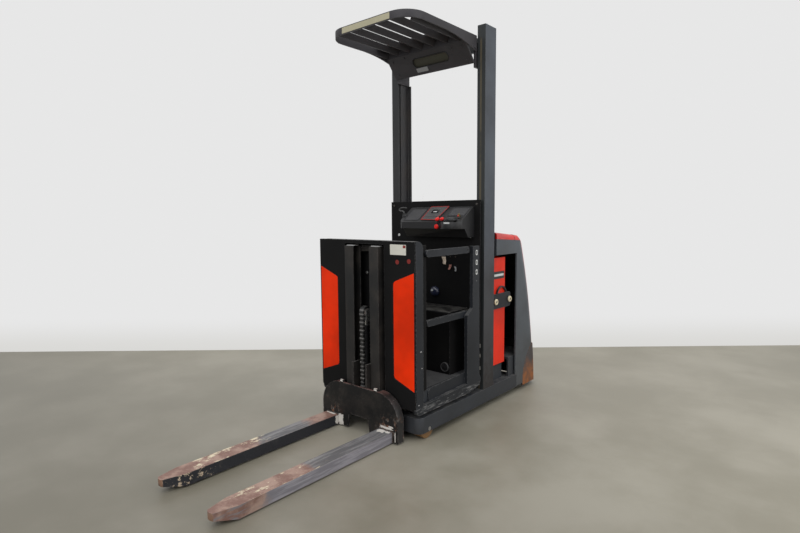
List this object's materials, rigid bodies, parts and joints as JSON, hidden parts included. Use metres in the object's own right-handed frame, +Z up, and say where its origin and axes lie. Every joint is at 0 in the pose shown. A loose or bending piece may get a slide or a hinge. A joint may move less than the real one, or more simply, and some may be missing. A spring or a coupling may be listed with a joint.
{
  "type": "order picker truck",
  "caption": "Stand-on order picker truck: lifting cab with overhead guard between two mast columns, raised by a lift cylinder, with its own fork carriage in front.",
  "frame": {"origin": "centre of the overall bounding box at floor level", "axes": "+X to the operator's side shown in the picture (right of the forks seen from behind them looking at the cab), -Y towards the fork tips, +Z up"},
  "size_m": [0.8, 2.764, 2.544],
  "materials": {
    "chassis_paint": "satin",
    "mast_steel": "satin",
    "cab_black": "satin",
    "red_paint": "gloss",
    "hood_red": "gloss",
    "battery_red": "satin",
    "bare_steel": "worn",
    "fork_steel": "worn",
    "wheel_tyre": "matte",
    "load_tyre": "matte",
    "mat_rubber": "matte",
    "machine_block": "matte",
    "screen_clear": "clear",
    "console_plastic": "matte",
    "control_plastic": "gloss",
    "skirt_rust": "worn",
    "pad_plastic": "matte",
    "chrome_rod": "polished"
  },
  "bodies": {
    "chassis": {"base_frame": "chassis_paint", "load_wheel_axles": "bare_steel", "mast_column_left": "mast_steel", "mast_column_right": "mast_steel", "mast_crossbeam": "mast_steel", "side_panels": "chassis_paint", "hood": "hood_red", "bumper_skirt": "skirt_rust", "battery": "battery_red", "battery_tray": "chassis_paint", "battery_latches": "bare_steel", "power_unit": "machine_block", "lift_cylinder": "cab_black"},
    "load_wheel_left": {"load_wheel_left": "load_tyre"},
    "load_wheel_right": {"load_wheel_right": "load_tyre"},
    "drive_knuckle": {"drive_knuckle": "machine_block"},
    "drive_wheel": {"drive_wheel": "wheel_tyre"},
    "cab": {"cab_floor": "chassis_paint", "leg_cabinet": "cab_black", "floor_mat": "mat_rubber", "cab_front": "cab_black", "front_inserts": "red_paint", "side_frame_left": "chassis_paint", "side_frame_right": "chassis_paint", "rear_wall": "cab_black", "inner_mast": "mast_steel", "guide_pads": "pad_plastic", "lift_rod": "chrome_rod", "screen": "screen_clear", "guard_frame": "cab_black", "guard_blades": "cab_black", "console": "console_plastic", "display_pad": "pad_plastic", "console_controls": "control_plastic", "fork_mast": "cab_black", "fork_cylinder": "cab_black", "gate_hinges": "cab_black"},
    "lift_head": {"lift_head": "chrome_rod", "chain_pulley": "bare_steel", "lift_chain": "bare_steel"},
    "fork_carriage": {"carriage_frame": "bare_steel", "fork_plate": "cab_black", "fork_left": "fork_steel", "fork_right": "fork_steel"},
    "gate_rail_left": {"gate_rail_left": "chassis_paint"},
    "gate_bar_left": {"gate_bar_left": "chassis_paint"},
    "gate_rail_right": {"gate_rail_right": "chassis_paint"},
    "gate_bar_right": {"gate_bar_right": "chassis_paint"}
  },
  "joints": [
    {"name": "cab_lift", "type": "slide", "parent": "chassis", "child": "cab", "axis": [0, 0, 1], "range_m": [0, 1.1]},
    {"name": "fork_lift", "type": "slide", "parent": "cab", "child": "fork_carriage", "axis": [0, 0, 1], "range_m": [0, 0.7]},
    {"name": "lift_head_slide", "type": "slide", "parent": "cab", "child": "lift_head", "axis": [0, 0, 1], "range_m": [0, 0.35]},
    {"name": "steering", "type": "hinge", "parent": "chassis", "child": "drive_knuckle", "pos_m": [0, 1.14701, 0.285], "axis": [0, 0, 1], "range_deg": [-90, 90]},
    {"name": "drive_wheel_turn", "type": "hinge", "parent": "drive_knuckle", "child": "drive_wheel", "pos_m": [0, 1.14701, 0.115], "axis": [1, 0, 0], "continuous": true},
    {"name": "load_wheel_left_turn", "type": "hinge", "parent": "chassis", "child": "load_wheel_left", "pos_m": [-0.345, -0.046, 0.0625], "axis": [1, 0, 0], "continuous": true},
    {"name": "load_wheel_right_turn", "type": "hinge", "parent": "chassis", "child": "load_wheel_right", "pos_m": [0.345, -0.046, 0.0625], "axis": [1, 0, 0], "continuous": true},
    {"name": "gate_left", "type": "hinge", "parent": "cab", "child": "gate_rail_left", "pos_m": [-0.388, 0.362, 1.108], "axis": [-1, 0, 0], "range_deg": [0, 76]},
    {"name": "gate_bar_left", "type": "hinge", "parent": "cab", "child": "gate_bar_left", "pos_m": [-0.358, 0.393, 0.688], "axis": [-1, 0, 0], "range_deg": [0, 76]},
    {"name": "gate_right", "type": "hinge", "parent": "cab", "child": "gate_rail_right", "pos_m": [0.388, 0.362, 1.108], "axis": [-1, 0, 0], "range_deg": [0, 76]},
    {"name": "gate_bar_right", "type": "hinge", "parent": "cab", "child": "gate_bar_right", "pos_m": [0.358, 0.393, 0.688], "axis": [-1, 0, 0], "range_deg": [0, 76]}
  ],
  "couplings": [
    {"joint": "lift_head_slide", "follows": "fork_lift", "ratio": 0.5},
    {"joint": "gate_bar_left", "follows": "gate_left", "ratio": 1},
    {"joint": "gate_bar_right", "follows": "gate_right", "ratio": 1}
  ]
}
